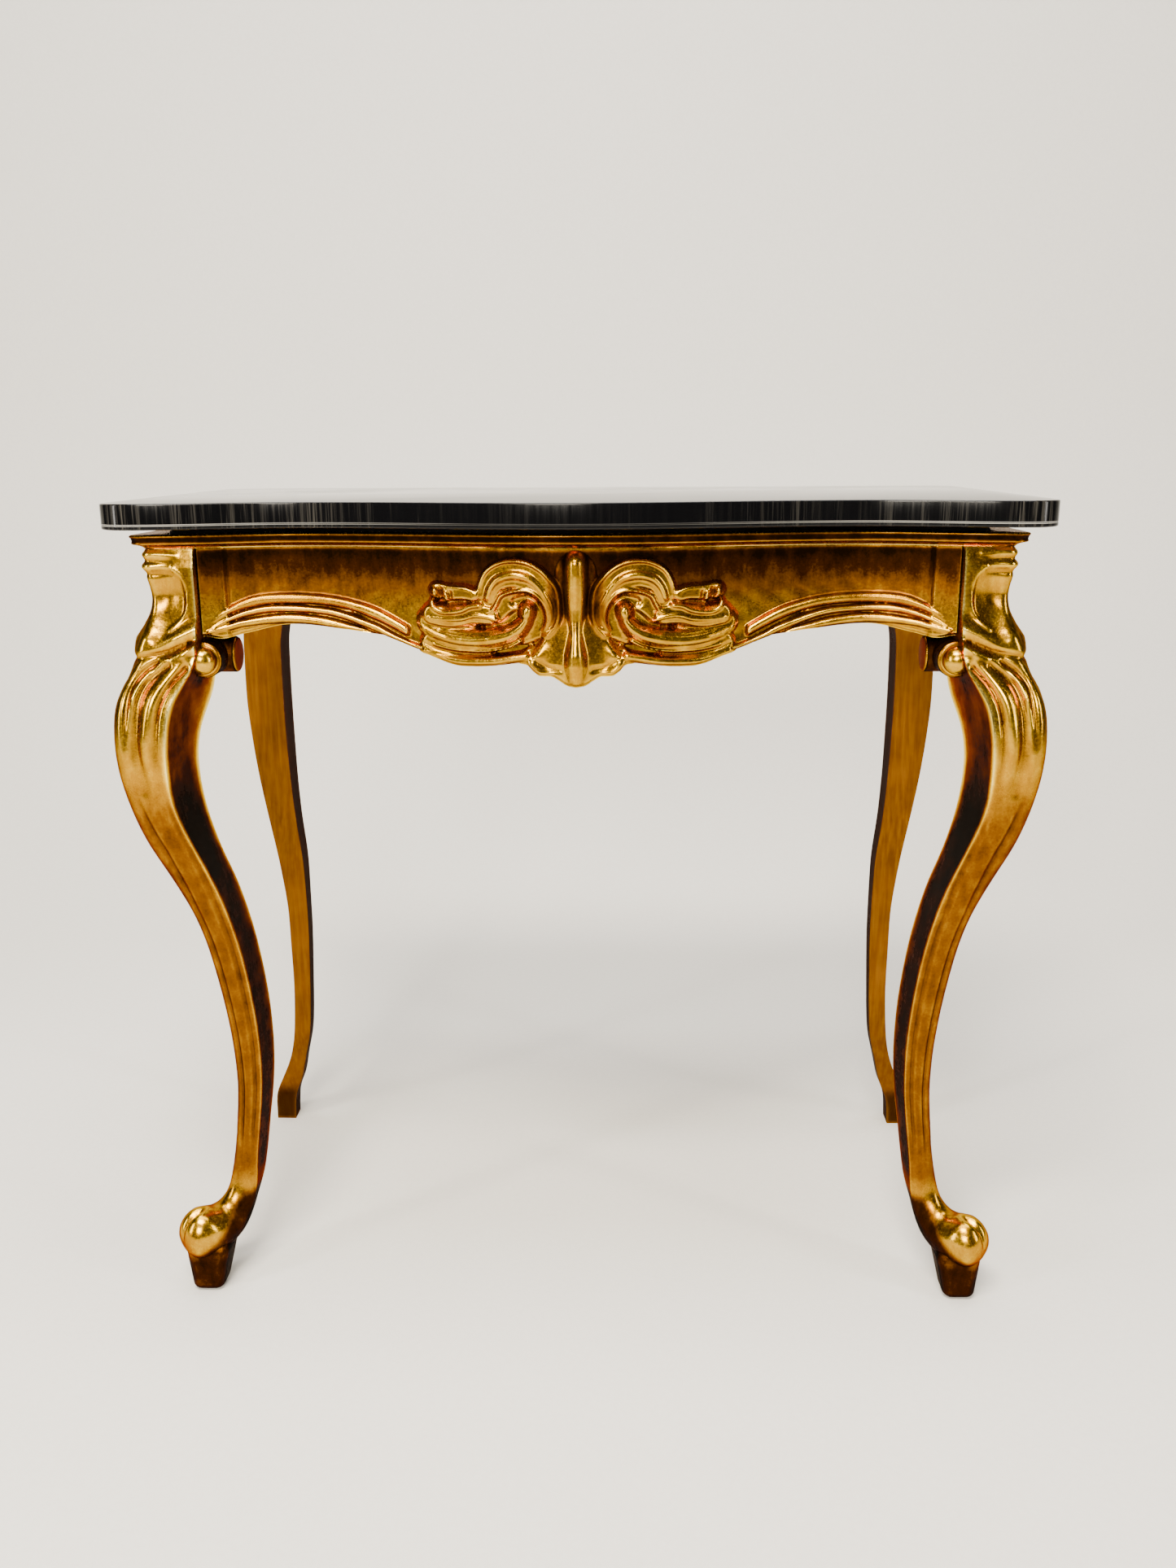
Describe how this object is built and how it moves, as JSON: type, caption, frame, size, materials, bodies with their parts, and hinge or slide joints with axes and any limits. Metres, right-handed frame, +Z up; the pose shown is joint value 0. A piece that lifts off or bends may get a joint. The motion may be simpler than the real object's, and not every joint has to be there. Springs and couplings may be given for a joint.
{
  "type": "miniature console table",
  "caption": "Miniature console table: serpentine black slab on gilt cabriole legs, with a carved front apron under a thin gilt lip.",
  "frame": {"origin": "on the floor under the middle of the slab, the bottom centre of the bounding box", "axes": "+X along the table to the viewer's right, +Z up, the serpentine front faces -Y"},
  "size_m": [0.074, 0.038, 0.07],
  "materials": {
    "gloss_black": "polished cast sheet with a cut edge",
    "black_board": "thin board stained matt black",
    "gilt": "gold leaf over red ground, burnished on the high points",
    "rear_gilt": "plain satin gold paint",
    "bare_wood": "unfinished"
  },
  "bodies": {
    "root": {"top_slab": "gloss_black", "sub_top": "black_board", "rim_front": "gilt", "rim_rear": "gilt", "rim_left": "gilt", "rim_right": "gilt", "front_apron": "gilt", "rear_apron": "rear_gilt", "left_apron": "rear_gilt", "right_apron": "rear_gilt", "leg_front_left": "gilt", "leg_front_right": "gilt", "leg_rear_left": "rear_gilt", "leg_rear_right": "rear_gilt", "centre_rib": "gilt", "lower_scroll_left": "gilt", "lower_scroll_right": "gilt", "upper_scroll_left": "gilt", "upper_scroll_right": "gilt", "corner_block_front_left": "bare_wood", "corner_block_front_right": "bare_wood", "corner_block_rear_left": "bare_wood", "corner_block_rear_right": "bare_wood", "dowel_front_left": "bare_wood", "dowel_front_right": "bare_wood", "dowel_rear_left": "bare_wood", "dowel_rear_right": "bare_wood", "dowel_left_front": "bare_wood", "dowel_left_rear": "bare_wood", "dowel_right_front": "bare_wood", "dowel_right_rear": "bare_wood"}
  },
  "joints": []
}
